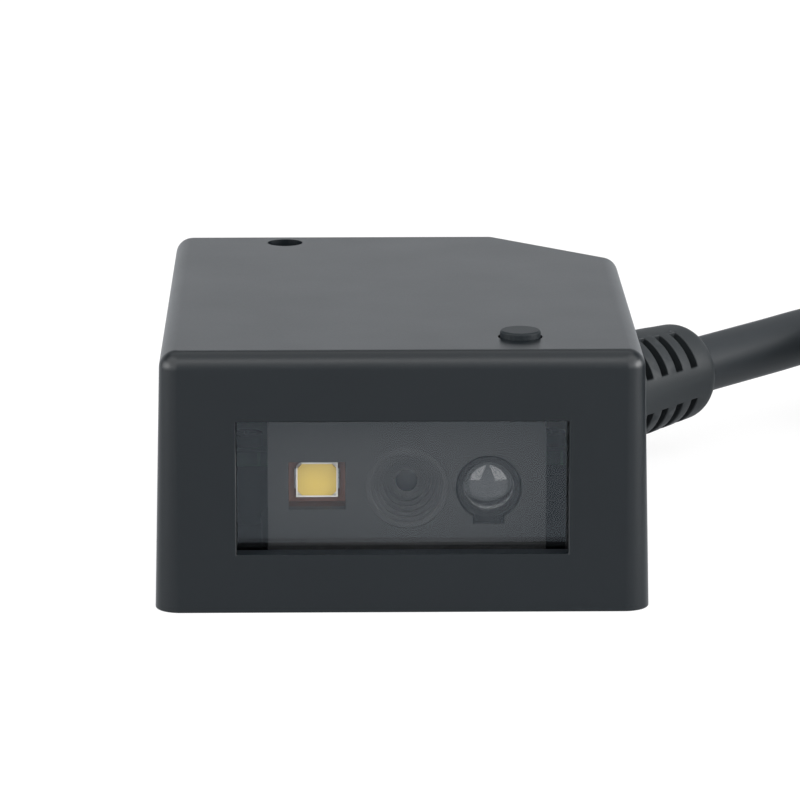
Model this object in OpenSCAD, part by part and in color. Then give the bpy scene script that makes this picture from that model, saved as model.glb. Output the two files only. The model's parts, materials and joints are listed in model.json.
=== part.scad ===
/* [Housing] */
// Width of the housing at its base
housing_w = 38.6; // [36:0.1:46]
// Depth of the housing at its base, front to back
housing_d = 48.6; // [46:0.1:60]
// Height of the housing
housing_h = 20.6; // [19.5:0.1:26]
// Thickness of the side, rear and top walls
wall = 1.8; // [1.4:0.1:2.2]
// Draft of the moulded walls in degrees
draft_deg = 1.3; // [0.5:0.1:2]
// Radius of the upright edges at the base
corner_r = 2; // [1.8:0.1:3]
// Radius of the rounding round the top face
top_r = 1.4; // [0.6:0.1:1.4]
// Length of each leg of the cut rear corner
cut_leg = 10.3; // [9:0.1:12]
// Clearance between pieces that seat in each other
fit_gap = 0.15; // [0.1:0.05:0.2]

/* [Window] */
// Width of the window opening
window_w = 25.8; // [22.5:0.1:26.4]
// Height of the window opening
window_h = 10.5; // [9:0.1:11.5]
// Height of the window sill above the base
window_z = 4.65; // [4:0.05:5]
// Distance from the front face back to the pane
window_recess = 2; // [1.2:0.1:2.4]
// Thickness of the tinted pane
pane_t = 1; // [0.8:0.1:1.5]
// Overlap of the pane behind the edge of the opening
pane_lap = 1; // [0.6:0.1:1.2]
// Thickness of the foam seal in front of the pane
seal_t = 0.4; // [0.2:0.1:0.6]

/* [Imaging engine] */
// Width of the engine chassis
engine_w = 21.8; // [21.4:0.1:23]
// Height of the engine chassis
engine_h = 10.4; // [10:0.1:11]
// Depth of the engine chassis
engine_d = 11.5; // [10.5:0.1:13]
// Sideways offset of the engine from the middle of the housing
engine_x = 0.4; // [-0.6:0.1:0.6]
// Height of the engine seat above the base
engine_z = 4.45; // [4.2:0.05:4.8]
// Gap between the pane and the engine face
engine_gap = 1; // [0.5:0.1:1.5]
// Height of the optical axis above the engine seat
axis_h = 4.6; // [4.4:0.05:4.8]
// Distance from the lens axis to the LED
led_x = 7.05; // [6.8:0.05:7.3]
// Depth of the LED behind the engine face
led_depth = 2; // [1.2:0.1:2.4]
// Distance from the lens axis to the aimer axis
aimer_x = 6.4; // [6.1:0.05:6.7]
// Outer diameter of the lens barrel
barrel_d = 6.2; // [5.8:0.1:6.4]
// Outer diameter of the aimer ring
aimer_d = 4.9; // [4.6:0.1:5.1]

/* [Trigger button and beeper] */
// Diameter of the button cap
button_d = 3.2; // [2.8:0.1:3.6]
// Height of the button above the top face
button_out = 0.55; // [0.4:0.05:0.8]
// Travel of the button
button_travel = 0.25; // [0.2:0.05:0.3]
// Distance from the right wall to the button
button_from_right = 10; // [9:0.1:12]
// Distance from the front face to the button
button_from_front = 6.3; // [6:0.1:9]
// Diameter of the sound hole
sound_d = 3; // [2:0.1:3.6]
// Distance from the left wall to the sound hole
sound_from_left = 9.9; // [9:0.1:12]
// Distance from the rear face to the sound hole
sound_from_rear = 4.1; // [4:0.1:6]

/* [Base] */
// Thickness of the base plate
base_t = 2; // [1.6:0.1:2.4]
// Spacing of the threaded mounting inserts across the base
mount_x = 16; // [14:0.5:18]
// Spacing of the threaded mounting inserts along the base
mount_y = 20; // [19:0.5:22]
// Outer diameter of an insert
insert_d = 4.2; // [3.8:0.1:4.6]
// Thread bore of an insert
insert_bore = 2.5; // [2:0.1:3]
// Length of an insert
insert_l = 4; // [3:0.1:4]

/* [Cable] */
// Diameter of the cable
cable_d = 5; // [4:0.1:5.2]
// Height of the cable exit above the base
gland_z = 6.5; // [6.2:0.1:6.8]
// Diameter of the strain relief where it leaves the housing
relief_d = 10.5; // [9.6:0.1:11]
// Diameter of the strain relief near its tip
relief_tip_d = 8.6; // [7.6:0.1:9]
// Length of the strain relief outside the housing
relief_l = 17.2; // [16.8:0.2:24]
// Diameter of the relief neck in the housing wall
neck_d = 6.6; // [6.2:0.1:7]
// Number of rings of flex slots
slot_rings = 6; // [3:1:6]

/* [Hidden] */

$fn = 48;
eps = 0.01;
over = 1;
round_step = 9;
half_w = housing_w / 2;
half_d = housing_d / 2;
front_y = -half_d;
ceiling_z = housing_h - wall;
edge_step = 0.8;
inner_r = corner_r - edge_step;
inner_top_r = 0.4;

// Slope of a drafted wall, as inset for each millimetre of height
draft = tan(draft_deg);

// Places across the front wall, from the front face backwards
lip_back_y = front_y + window_recess - seal_t;
pane_front_y = front_y + window_recess;
pane_back_y = pane_front_y + pane_t;
pane_w = window_w + 2 * pane_lap;
pane_h = window_h + 2 * pane_lap;
pane_z = window_z - pane_lap;
frame_land = 1.2;
frame_w = pane_w + 2 * frame_land;

// Places of the engine and its optics
chassis_y = pane_back_y + engine_gap;
chassis_back_y = chassis_y + engine_d;
engine_top = engine_z + engine_h;
axis_z = engine_z + axis_h;
led_mid_x = engine_x - led_x;
aimer_mid_x = engine_x + aimer_x;
led_w = 3.3;
led_h = 2.8;
led_t = 0.7;
led_rise = 0.2;
led_z = axis_z + led_rise;
pocket_w = 4.44;
pocket_h = 3.8;
led_board_w = 5.8;
led_board_h = 5;
led_board_t = 0.8;
led_board_y = chassis_y + led_depth + led_t;
barrel_l = 9;
barrel_set = 0.2;
sensor_t = 0.9;
sensor_board_t = 1;
sensor_board_y = chassis_back_y;
sensor_board_inset = 0.45;
sensor_board_w = engine_w - 2 * sensor_board_inset;
sensor_board_h = engine_h - 2 * sensor_board_inset;
aimer_ring = 0.5;
aimer_l = 6;
key_w = 2.2;
key_drop = 0.35;
key_depth = 1.2;
sensor_w = 4.8;
sensor_bay_w = 7;
sensor_bay_d = 2.2;
sensor_screw_l = 3;
sensor_screw_inset = 1.4;
sensor_screw_places = [
    [engine_x - sensor_board_w / 2 + sensor_screw_inset, engine_top - sensor_screw_inset],
    [engine_x + sensor_board_w / 2 - sensor_screw_inset, engine_z + sensor_screw_inset]
];
led_clip = 0.6;
phosphor_w = 3.05;
phosphor_h = 2.55;
phosphor_t = 0.3;
phosphor_corner = 0.5;
terminal_out = 0.12;
terminal_t = 0.3;
terminal_h = 1.6;
hood_r = 2.85;
hood_steps = 5;
hood_in = 0.32;
hood_rise = 0.45;
hood_l = hood_steps * hood_rise;
pupil_r = 0.85;
pupil_t = 0.2;
lens_r = 1.85;
lens_t = 1.5;
lens_spacing = 2.4;
front_dome_r = 3.2;
rear_dome_r = 2.8;
lens_gap = 0.05;
aimer_set = 0.4;
aimer_lens_t = 2.6;
aimer_dome = 0.58;
emitter_gap = 0.3;
lead_pitch = 2.54;
lead_d = 0.5;

// Screw sizes, one small and one larger countersunk screw
base_screw_d = 1.7;
base_screw_head = 3.8;
base_pilot_d = 1.8;
small_screw_d = 1.3;
small_screw_head = 2.6;
small_pilot_d = 1.4;
recess_w = 0.4;
recess_span = 0.6;
recess_depth = 0.6;
pan_height = 0.4;

// Housing bosses that take the base screws
boss_d = 5;
boss_inset = 2.1;
boss_from_front = 5.8;
boss_rear_gap = 0.4;
boss_from_cut = 5;
boss_x = half_w - wall - boss_inset;
boss_front_y = front_y + boss_from_front;
boss_rear_y = half_d - wall - boss_inset - boss_rear_gap;
boss_side_y = half_d - cut_leg - boss_from_cut;
boss_places = [
    [-boss_x, boss_front_y], [boss_x, boss_front_y], [-boss_x, boss_rear_y], [boss_x, boss_side_y]
];
base_screw_bite = 8;
base_screw_l = base_t + base_screw_bite;
mount_places = [for (x = [-1, 1], y = [-1, 1]) [x * mount_x / 2, y * mount_y / 2]];
insert_wall = 1.1;
insert_boss_d = insert_d + 2 * insert_wall;
insert_groove_w = 0.6;
insert_groove_t = 0.25;
insert_groove_z = 0.45 * insert_l;
engine_screw_x = 6.5;
engine_screw_y = 5.3;
engine_screw_places = [for (x = [-1, 1]) [engine_x + engine_screw_x * x, chassis_y + engine_screw_y]];
engine_post_d = 4.6;
engine_screw_grip = 1.6;

// Trigger button, its switch and the small board on top of the engine
button_x = half_w - button_from_right;
button_y = front_y + button_from_front;
flange_lap = 0.7;
flange_d = button_d + 2 * flange_lap;
flange_t = 0.7;
flange_gap = 0.2;
button_board_t = 0.8;
button_board_w = 6.4;
button_board_d = 7;
button_board_y = button_y - 3;
switch_w = 3.4;
switch_d = 3;
stem_d = 2.4;
stem_l = 0.25;
button_rim = 0.12;
plunger_d = 1.2;
plunger_out = 0.4;
flange_z = ceiling_z - flange_gap - flange_t;
switch_z = engine_top + button_board_t;
plunger_top = flange_z - stem_l;
switch_h = plunger_top - plunger_out - switch_z;
plunger_share = 0.4;
plunger_l = plunger_out + plunger_share * switch_h;
button_flex_w = 4;
guide_h = 1;
guide_t = 0.8;
button_bore_d = button_d + 2 * fit_gap;

// Sound hole
sound_x = -half_w + sound_from_left;
sound_y = half_d - sound_from_rear;

// Decoder board, cut off at the corner where the cable comes in
board_t = 1.2;
board_z = 7;
board_top = board_z + board_t;
board_side_gap = 2.5;
board_rear_gap = 0.9;
engine_to_board = 3.2;
cable_room = 14;
board_front_y = sensor_board_y + sensor_board_t + engine_to_board;
board_half_w = half_w - wall - draft * board_top - board_side_gap;
board_rear_y = half_d - wall - draft * board_top - board_rear_gap;
board_cut = half_w + half_d - cut_leg - cable_room;
board_step_x = -boss_x + boss_d / 2 + board_rear_gap;
board_step_y = boss_rear_y - boss_d / 2 - board_rear_gap;
standoff_d = 4.4;
standoff_inset = 2.4;
board_screw_places = [
    [-board_half_w + standoff_inset, board_front_y + standoff_inset],
    [board_half_w - standoff_inset, board_front_y + standoff_inset],
    [-board_half_w + standoff_inset, board_step_y - standoff_inset]
];
board_screw_l = 5;

// Parts on the decoder board
connector_w = 9;
connector_d = 3;
connector_h = 1.3;
connector_set = 1.2;
connector_y = board_front_y + connector_set;
flex_w = 7;
flex_t = 0.2;
flex_bend = 0.8;
flex_entry_h = 0.5;
flex_z = board_top + flex_entry_h;
sensor_connector_h = 2;
sensor_connector_t = 1.2;
sensor_connector_rise = 1.6;
sensor_connector_z = axis_z + sensor_connector_rise;
chip_w = 9;
chip_t = 1.1;
chip_gap = 7;
chip_y = connector_y + connector_d + chip_gap;
leg_count = 9;
leg_pitch = 0.9;
leg_l = 1.6;
leg_t = 0.2;
beeper_d = 8.4;
beeper_h = 4;
beeper_shift = 2.2;
beeper_gap = 0.3;
beeper_port_d = 2;
beeper_x = sound_x + beeper_shift;
beeper_y = board_rear_y - beeper_d / 2 - beeper_gap;
header_w = 7.5;
header_d = 4.2;
header_h = 3.6;
header_gap = 0.5;
header_x = board_half_w - header_w / 2 - header_gap;
header_y = connector_y + connector_d + header_gap;
header_wall = 0.6;
plug_w = header_w - 2 * header_wall - 2 * fit_gap;
plug_h = header_h - 2 * header_wall - 2 * fit_gap;
plug_d = 5;
wire_count = 4;
wire_pitch = 1.2;
wire_d = 0.9;
wire_set = 0.3;
wire_run = 1.5;
wire_drop = 0.4;
wire_rise = 1.4;
wire_back = 2.4;
wire_spread = 0.9;
wire_entry = 0.7;

// Cable exit through the cut corner, on the outer face of the wall
gland_sum = half_w + half_d - cut_leg - gland_z * draft * sqrt(2);
gland_x = (gland_sum + half_w - half_d) / 2;
gland_y = (gland_sum - half_w + half_d) / 2;
relief_flange_d = 8.4;
relief_flange_t = 1.8;
relief_tip_r = 1.8;
slot_first = 3;
slot_pitch = 2.1;
slot_w = 0.9;
slot_angle = 52;
slot_skin = 0.7;
slot_floor = cable_d / 2 + slot_skin;
bore_gap = 0.05;
tongue_share = 0.35;

// Straight stretch of the cable through the relief, as distances along x and y from the gland
lead_steps = [-4, 0, 7, 14, 20, 25];

// Rest of the way down to the coil, chosen by hand, measured from the gland in x and y
lead_drop = [[29, 29, 7.1], [33, 33, 5.9], [37, 37, 4.3], [41, 41, 3.3]];
lead_route = concat(
    [for (s = lead_steps) [gland_x + s, gland_y + s, gland_z + s * sqrt(2) * draft]],
    [for (p = lead_drop) [gland_x + p[0], gland_y + p[1], p[2]]]
);
coil_mid = [gland_x + 67, gland_y + 15];
coil_turns = 4;
coil_layers = 2;
coil_mid_r = 29.4;
coil_lift = 0.8;
coil_h = coil_layers * cable_d;
coil_round = 2;
tie_w = 6;
tie_t = 0.5;
tie_gap = 0.3;
tie_angle = -60;

// Way of the cable from the coil to its plug, chosen by hand, measured from the gland in x and y
tail_steps = [
    [52, 49.5, 8.2], [63, 54.5, 8], [74, 55.5, 7.6], [86.5, 51.5, 7.1], [96.5, 44.5, 6.6], [104, 34.5, 6],
    [108, 23.5, 5.4], [109, 13, 4.9], [109, 2, 4.5], [109, -11, 4.1], [106, -22, 4], [98, -30, 4],
    [91, -32.6, 4], [85, -33, 4], [82, -33, 4], [79.5, -33, 4]
];
tail_route = [for (p = tail_steps) [gland_x + p[0], gland_y + p[1], p[2]]];
tail_end = tail_route[len(tail_route) - 1];

// Plug at the far end of the cable
tail_set = 2;
plug_place = [tail_end[0] + tail_set, tail_end[1], tail_end[2]];
usb_neck_l = 9;
usb_neck_d = 7;
usb_w = 15.6;
usb_h = 8;
usb_l = 30;
usb_round = 2;
shell_w = 12;
shell_h = 4.5;
shell_out = 12;
shell_in = 5;
shell_t = 0.3;
shell_start_y = -usb_neck_l - usb_l - shell_out;
shell_window_x = 2.6;
shell_window_y = 5;
shell_window_w = 2.2;
shell_window_l = 2;
insulator_h = 1.9;
insulator_set = 0.6;
insulator_end = 0.4;
contact_count = 4;
contact_w = 1;
contact_l = 8;
contact_t = 0.2;
contact_set = 1.2;
contact_pitch = 2.2;
groove_count = 4;
groove_start = 9;
groove_pitch = 3;
groove_w = 1.2;
groove_t = 0.4;
groove_margin = 0.5;

// Centres of the rounded upright edges, set in from the base outline
function edge_centres(inset) = [
    [-half_w + inset, -half_d + inset],
    [half_w - inset, -half_d + inset],
    [half_w - inset, half_d - cut_leg - inset * (sqrt(2) - 1)],
    [half_w - cut_leg - inset * (sqrt(2) - 1), half_d - inset],
    [-half_w + inset, half_d - inset]
];

function unit(v) = v / norm(v);

// Direction of a route at point i
function heading(route, i) =
    unit(route[min(i + 1, len(route) - 1)] - route[max(i - 1, 0)]);

// Ring of points round a route at point i
function ring(route, i, r, sides) =
    let (along = heading(route, i), side = unit(cross(along, [0, 0, 1])), up = cross(side, along))
    [for (k = [0:sides - 1]) route[i] + r * (cos(360 * k / sides) * side + sin(360 * k / sides) * up)];

// Round tube swept along a route
module tube(route, d, sides = 12) {
    rings = len(route);
    points = [for (i = [0:rings - 1]) each ring(route, i, d / 2, sides)];
    walls = [for (i = [0:rings - 2], k = [0:sides - 1])
        let (a = i * sides + k, b = i * sides + (k + 1) % sides)
        each [[a, b, b + sides], [a, b + sides, a + sides]]];
    near = [[for (k = [sides - 1:-1:0]) k]];
    far = [[for (k = [0:sides - 1]) (rings - 1) * sides + k]];
    polyhedron(points, concat(near, walls, far));
}

// Upright edge post with its draft and a rounded top
module edge_post(r, h, round_r) {
    top = r - h * draft;
    arc = [for (a = [0:round_step:90]) [top - round_r + round_r * cos(a), h - round_r + round_r * sin(a)]];
    rotate_extrude() polygon(concat([[0, 0], [r, 0]], arc, [[0, h]]));
}

// Drafted block with the outline of the housing
module drafted_block(inset, r, h, round_r) {
    hull() for (p = edge_centres(inset + r)) translate(p) edge_post(r, h, round_r);
}

// Places a child on the cable exit, with its z axis pointing out of the housing
module at_gland() {
    translate([gland_x, gland_y, gland_z]) rotate([0, 0, 45]) rotate([0, 90 - draft_deg, 0]) children();
}

// Box set by its middle in x, its front in y and its bottom in z
module box(x, y, z, w, d, h) {
    translate([x - w / 2, y, z]) cube([w, d, h]);
}

// Places a turned child with its axis pointing backwards
module along_y(x, y, z) {
    translate([x, y, z]) rotate([-90, 0, 0]) children();
}

// Countersunk screw pointing up from the base, with a cross recess in its head
module countersunk_screw(d, head_d, l) {
    head_h = (head_d - d) / 2;
    difference() {
        union() {
            cylinder(h = head_h, d1 = head_d, d2 = d);
            cylinder(h = l, d = d);
        }
        for (turn = [0, 90]) rotate(turn)
            box(0, -recess_w / 2, -eps, head_d * recess_span, recess_w, head_h * recess_depth);
    }
}

// Clearance hole and countersink for that screw
module countersunk_hole(d, head_d, l) {
    hole_d = d + 2 * fit_gap;
    seat_d = head_d + 2 * fit_gap;
    translate([0, 0, -eps]) cylinder(h = (seat_d - hole_d) / 2 + eps, d1 = seat_d + 2 * eps, d2 = hole_d);
    translate([0, 0, -eps]) cylinder(h = l + 2 * eps, d = hole_d);
}

// Round-headed screw that hangs down from its head, with a cross recess
module pan_screw(d, head_d, l) {
    head_h = head_d * pan_height;
    difference() {
        union() {
            cylinder(h = head_h, d = head_d);
            translate([0, 0, -l]) cylinder(h = l, d = d);
        }
        for (turn = [0, 90]) rotate(turn)
            box(0, -recess_w / 2, head_h * (1 - recess_depth), head_d * recess_span, recess_w, head_h);
    }
}

// Bosses, window frame and button guide that stand in the housing's hollow
module housing_fittings() {
    for (p = boss_places) translate([p[0], p[1], base_t]) cylinder(h = housing_h, d = boss_d);
    box(0, front_y, base_t + fit_gap, frame_w, pane_back_y - front_y, housing_h);
    translate([button_x, button_y, ceiling_z - guide_h]) difference() {
        cylinder(h = housing_h, d = flange_d + 4 * fit_gap + 2 * guide_t);
        translate([0, 0, -eps]) cylinder(h = housing_h, d = flange_d + 4 * fit_gap);
    }
}

// Slot in the cut corner that lets the relief neck slide in from below
module gland_slot(width, below) {
    at_gland() {
        translate([0, 0, -wall * 2]) cylinder(h = wall * 4, d = width);
        translate([0, -width / 2, -wall * 2]) cube([below, width, wall * 4]);
    }
}

module housing() {
    color("#2b2d30") difference() {
        drafted_block(0, corner_r, housing_h, top_r);
        difference() {
            translate([0, 0, -eps]) drafted_block(wall, inner_r, ceiling_z, inner_top_r);
            housing_fittings();
        }
        box(0, front_y - over, window_z, window_w, window_recess + pane_t + 2 * over, window_h);
        box(0, lip_back_y, pane_z - fit_gap, pane_w + 2 * fit_gap, seal_t + pane_t + over,
            pane_h + 2 * fit_gap);
        translate([button_x, button_y, ceiling_z - over]) cylinder(h = housing_h, d = button_bore_d);
        translate([sound_x, sound_y, ceiling_z - over]) cylinder(h = housing_h, d = sound_d);
        for (p = boss_places) translate([p[0], p[1], 0]) cylinder(h = base_screw_l + over, d = base_pilot_d);
        gland_slot(neck_d + 2 * fit_gap, gland_z + over);
    }
}

// Tongue of the base plate that closes the gland slot under the relief neck
module gland_tongue() {
    tongue_top = neck_d * tongue_share;
    root_top = gland_z - base_t + draft * wall;
    intersection() {
        at_gland() {
            translate([tongue_top, -neck_d / 2, -wall]) cube([gland_z, neck_d, wall]);
            translate([root_top, -neck_d / 2, -3 * wall]) cube([gland_z, neck_d, 3 * wall]);
        }
        cube([housing_w, housing_d, housing_h]);
    }
}

// Plain drafted plate with the inner outline of the housing
module drafted_plate(inset, r, h) {
    hull() for (p = edge_centres(inset + r)) translate(p) cylinder(h = h, r1 = r, r2 = r - h * draft);
}

module base_plate() {
    color("#26282b") difference() {
        union() {
            drafted_plate(wall + fit_gap, inner_r, base_t);
            for (p = mount_places) translate(p) cylinder(h = engine_z, d = insert_boss_d);
            for (p = engine_screw_places) translate(p) cylinder(h = engine_z, d = engine_post_d);
            for (p = board_screw_places) translate(p) cylinder(h = board_z, d = standoff_d);
            gland_tongue();
        }
        for (p = mount_places) translate([p[0], p[1], -eps])
            cylinder(h = insert_l + fit_gap + eps, d = insert_d);
        for (p = boss_places) translate(p) countersunk_hole(base_screw_d, base_screw_head, base_t);
        for (p = engine_screw_places) translate(p)
            countersunk_hole(small_screw_d, small_screw_head, engine_z);
        for (p = board_screw_places) translate([p[0], p[1], board_z - board_screw_l])
            cylinder(h = board_screw_l + over, d = small_pilot_d);
        at_gland() translate([0, 0, -wall * 3]) cylinder(h = wall * 6, d = neck_d + 2 * fit_gap);
    }
}

module base_screws() {
    color("#8d9094") for (p = boss_places) translate(p)
        countersunk_screw(base_screw_d, base_screw_head, base_screw_l);
}

module mount_inserts() {
    color("#b8953f") for (p = mount_places) translate(p) difference() {
        cylinder(h = insert_l, d = insert_d);
        translate([0, 0, -eps]) cylinder(h = insert_l + 2 * eps, d = insert_bore);
        translate([0, 0, insert_groove_z]) difference() {
            cylinder(h = insert_groove_w, d = insert_d + over);
            translate([0, 0, -eps])
                cylinder(h = insert_groove_w + 2 * eps, d = insert_d - 2 * insert_groove_t);
        }
    }
}

module window_seal() {
    color("#141516") difference() {
        box(0, lip_back_y, pane_z, pane_w, seal_t, pane_h);
        box(0, lip_back_y - eps, window_z - fit_gap, window_w + 2 * fit_gap, seal_t + 2 * eps,
            window_h + 2 * fit_gap);
    }
}

module window_pane() {
    color("#3a3d40", 0.6) box(0, pane_front_y, pane_z, pane_w, pane_t, pane_h);
}

// Cap, retaining flange and stem of the trigger button
module trigger_button() {
    top_z = housing_h + button_out;
    color("#1f2124") translate([button_x, button_y, 0]) {
        rotate_extrude() polygon([
            [0, plunger_top], [stem_d / 2, plunger_top], [stem_d / 2, flange_z], [flange_d / 2, flange_z],
            [flange_d / 2, flange_z + flange_t], [button_d / 2, flange_z + flange_t],
            [button_d / 2, top_z - button_rim], [button_d / 2 - button_rim, top_z], [0, top_z]
        ]);
    }
}

module switch_plunger() {
    color("#303236") translate([button_x, button_y, plunger_top - plunger_l])
        cylinder(h = plunger_l, d = plunger_d);
}

module tact_switch() {
    color("#c9ccd0") difference() {
        box(button_x, button_y - switch_d / 2, switch_z, switch_w, switch_d, switch_h);
        translate([button_x, button_y, plunger_top - plunger_l - button_travel - fit_gap])
            cylinder(h = plunger_l * 2, d = plunger_d + 2 * fit_gap);
    }
}

module button_board() {
    color("#1f5b3a") box(button_x, button_board_y, engine_top, button_board_w, button_board_d,
        button_board_t);
}

// Flat flex that runs level and turns by a quarter bend, drawn in the y and z plane
module flex_strip(x, w, level_y, level_z, end_y, end_z) {
    outer = flex_bend + flex_t;
    rise = end_z > level_z ? 1 : -1;
    turn = level_y > end_y ? 1 : -1;
    translate([x - w / 2, 0, 0]) rotate([90, 0, 90]) linear_extrude(w) {
        translate([min(level_y, end_y + turn * outer), level_z - flex_t / 2])
            square([abs(level_y - end_y) - outer, flex_t]);
        translate([end_y + turn * outer, level_z + rise * (outer - flex_t / 2)])
            rotate(turn > 0 ? (rise > 0 ? 180 : 90) : (rise > 0 ? 270 : 0)) difference() {
                intersection() {
                    circle(outer);
                    square(outer);
                }
                circle(flex_bend);
            }
        translate([turn > 0 ? end_y : end_y - flex_t, min(end_z, level_z + rise * (outer - flex_t / 2))])
            square([flex_t, abs(end_z - level_z) - outer + flex_t / 2]);
    }
}

module button_flex() {
    color("#a5672b") flex_strip(button_x, button_flex_w, button_board_y + button_board_d,
        engine_top + flex_t, board_front_y + flex_t * 3, board_top);
}

// Moulded carrier of the LED, the lens barrel and the aimer, open at the back
module engine_chassis() {
    color("#3c3e41") difference() {
        box(engine_x, chassis_y, engine_z, engine_w, engine_d, engine_h);
        box(led_mid_x, chassis_y - eps, led_z - pocket_h / 2, pocket_w, engine_d, pocket_h);
        box(led_mid_x, led_board_y, led_z - led_board_h / 2 - fit_gap, led_board_w + 2 * fit_gap, engine_d,
            led_board_h + 2 * fit_gap);
        along_y(engine_x, chassis_y - eps, axis_z) cylinder(h = engine_d + over, d = barrel_d + 2 * fit_gap);
        box(engine_x, chassis_back_y - sensor_bay_d, axis_z - sensor_bay_w / 2, sensor_bay_w, engine_d,
            sensor_bay_w);
        along_y(aimer_mid_x, chassis_y - eps, axis_z)
            cylinder(h = engine_d + over, d = aimer_d + 2 * fit_gap);
        box(aimer_mid_x, chassis_y - eps, axis_z - aimer_d / 2 - key_drop - fit_gap, key_w + 2 * fit_gap,
            key_depth + fit_gap, aimer_d / 2);
        for (p = engine_screw_places) translate([p[0], p[1], engine_z - eps])
            cylinder(h = engine_screw_grip + fit_gap, d = small_pilot_d);
        for (p = sensor_screw_places) along_y(p[0], chassis_back_y - sensor_screw_l, p[1])
            cylinder(h = sensor_screw_l + over, d = small_pilot_d);
    }
}

module engine_screws() {
    color("#8d9094") for (p = engine_screw_places) translate(p)
        countersunk_screw(small_screw_d, small_screw_head, engine_z + engine_screw_grip);
}

module led_board() {
    color("#e8e6df") box(led_mid_x, led_board_y, led_z - led_board_h / 2, led_board_w, led_board_t,
        led_board_h);
}

// Moulded LED package with one clipped corner that marks its polarity
module illumination_led() {
    color("#e9e7e2") difference() {
        box(led_mid_x, led_board_y - led_t, led_z - led_h / 2, led_w, led_t, led_h);
        translate([led_mid_x - led_w / 2, led_board_y - led_t / 2, led_z + led_h / 2]) rotate([0, 45, 0])
            cube([led_clip, led_t + 2 * eps, led_clip], center = true);
        box(led_mid_x, led_board_y - led_t - eps, led_z - phosphor_h / 2, phosphor_w, phosphor_t + eps,
            phosphor_h);
    }
}

module led_phosphor() {
    color("#e6c65c") difference() {
        box(led_mid_x, led_board_y - led_t, led_z - phosphor_h / 2, phosphor_w, phosphor_t, phosphor_h);
        for (x = [-1, 1], z = [-1, 1])
            translate([led_mid_x + x * phosphor_w / 2, led_board_y - led_t / 2, led_z + z * phosphor_h / 2])
                rotate([0, 45, 0]) cube([phosphor_corner, led_t * 2, phosphor_corner], center = true);
    }
}

module led_terminals() {
    color("#c9c7c0") for (x = [-1, 1])
        box(led_mid_x + x * (led_w + terminal_out) / 2, led_board_y - terminal_t, led_z - terminal_h / 2,
            terminal_out, terminal_t, terminal_h);
}

// Lens barrel with a stepped hood that narrows to the pupil
module lens_barrel() {
    hood = [for (i = [0:hood_steps - 1]) each
        [[hood_r - i * hood_in, i * hood_rise], [hood_r - i * hood_in, (i + 1) * hood_rise]]];
    back = [
        [pupil_r, hood_l], [pupil_r, hood_l + pupil_t], [lens_r + lens_gap, hood_l + pupil_t],
        [lens_r + lens_gap, barrel_l], [barrel_d / 2, barrel_l], [barrel_d / 2, 0]
    ];
    color("#26282a") along_y(engine_x, chassis_y + barrel_set, axis_z)
        rotate_extrude() polygon(concat(hood, back));
}

// Lens element with one domed face
module lens_element(depth, dome_r, facing) {
    along_y(engine_x, chassis_y + barrel_set + depth, axis_z) intersection() {
        cylinder(h = lens_t, r = lens_r);
        translate([0, 0, facing > 0 ? dome_r : lens_t - dome_r]) sphere(dome_r);
    }
}

module front_lens() {
    color("#5a6a78", 0.5) lens_element(hood_l + pupil_t, front_dome_r, 1);
}

module rear_lens() {
    color("#5a6a78", 0.5) lens_element(hood_l + pupil_t + lens_spacing, rear_dome_r, -1);
}

module image_sensor() {
    color("#20303a") box(engine_x, sensor_board_y - sensor_t, axis_z - sensor_w / 2, sensor_w, sensor_t,
        sensor_w);
}

module sensor_board() {
    color("#1f5b3a") difference() {
        box(engine_x, sensor_board_y, engine_z + (engine_h - sensor_board_h) / 2, sensor_board_w,
            sensor_board_t, sensor_board_h);
        for (p = sensor_screw_places) along_y(p[0], sensor_board_y - eps, p[1])
            cylinder(h = sensor_board_t + 2 * eps, d = small_screw_d + 2 * fit_gap);
    }
}

module sensor_screws() {
    color("#8d9094") for (p = sensor_screw_places)
        along_y(p[0], sensor_board_y + sensor_board_t, p[1])
            pan_screw(small_screw_d, small_screw_head, sensor_board_t + sensor_screw_l - fit_gap);
}

// Dark keyed sleeve round the aimer's optics
module aimer_holder() {
    color("#303236") difference() {
        union() {
            along_y(aimer_mid_x, chassis_y + barrel_set, axis_z) cylinder(h = aimer_l, d = aimer_d);
            box(aimer_mid_x, chassis_y + 2 * barrel_set, axis_z - aimer_d / 2 - key_drop, key_w,
                key_depth - 2 * barrel_set, aimer_d / 2);
        }
        along_y(aimer_mid_x, chassis_y, axis_z)
            cylinder(h = aimer_l + over, d = aimer_d - 2 * aimer_ring + 2 * lens_gap);
    }
}

module aimer_lens() {
    d = aimer_d - 2 * aimer_ring;
    dome_r = aimer_dome * d;
    color("#c8ccce", 0.5) along_y(aimer_mid_x, chassis_y + aimer_set, axis_z) intersection() {
        cylinder(h = aimer_lens_t, d = d);
        translate([0, 0, dome_r]) sphere(dome_r);
    }
}

module aimer_emitter() {
    d = aimer_d - 2 * aimer_ring;
    start = aimer_set + aimer_lens_t + emitter_gap;
    color("#303134") {
        along_y(aimer_mid_x, chassis_y + start, axis_z) cylinder(h = aimer_l + barrel_set - start, d = d);
        for (x = [-1, 1]) along_y(aimer_mid_x + x * lead_pitch / 2, chassis_y + aimer_l, axis_z)
            cylinder(h = engine_d - aimer_l, d = lead_d);
    }
}

module sensor_connector() {
    color("#d9d4c4") box(engine_x, sensor_board_y + sensor_board_t, sensor_connector_z, connector_w,
        sensor_connector_t, sensor_connector_h);
}

module flex_cable() {
    color("#a5672b") flex_strip(engine_x, flex_w, connector_y, flex_z,
        sensor_board_y + sensor_board_t + (sensor_connector_t - flex_t) / 2, sensor_connector_z);
}

module flex_connector() {
    color("#d9d4c4") box(engine_x, connector_y, board_top, connector_w, connector_d, connector_h);
}

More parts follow.
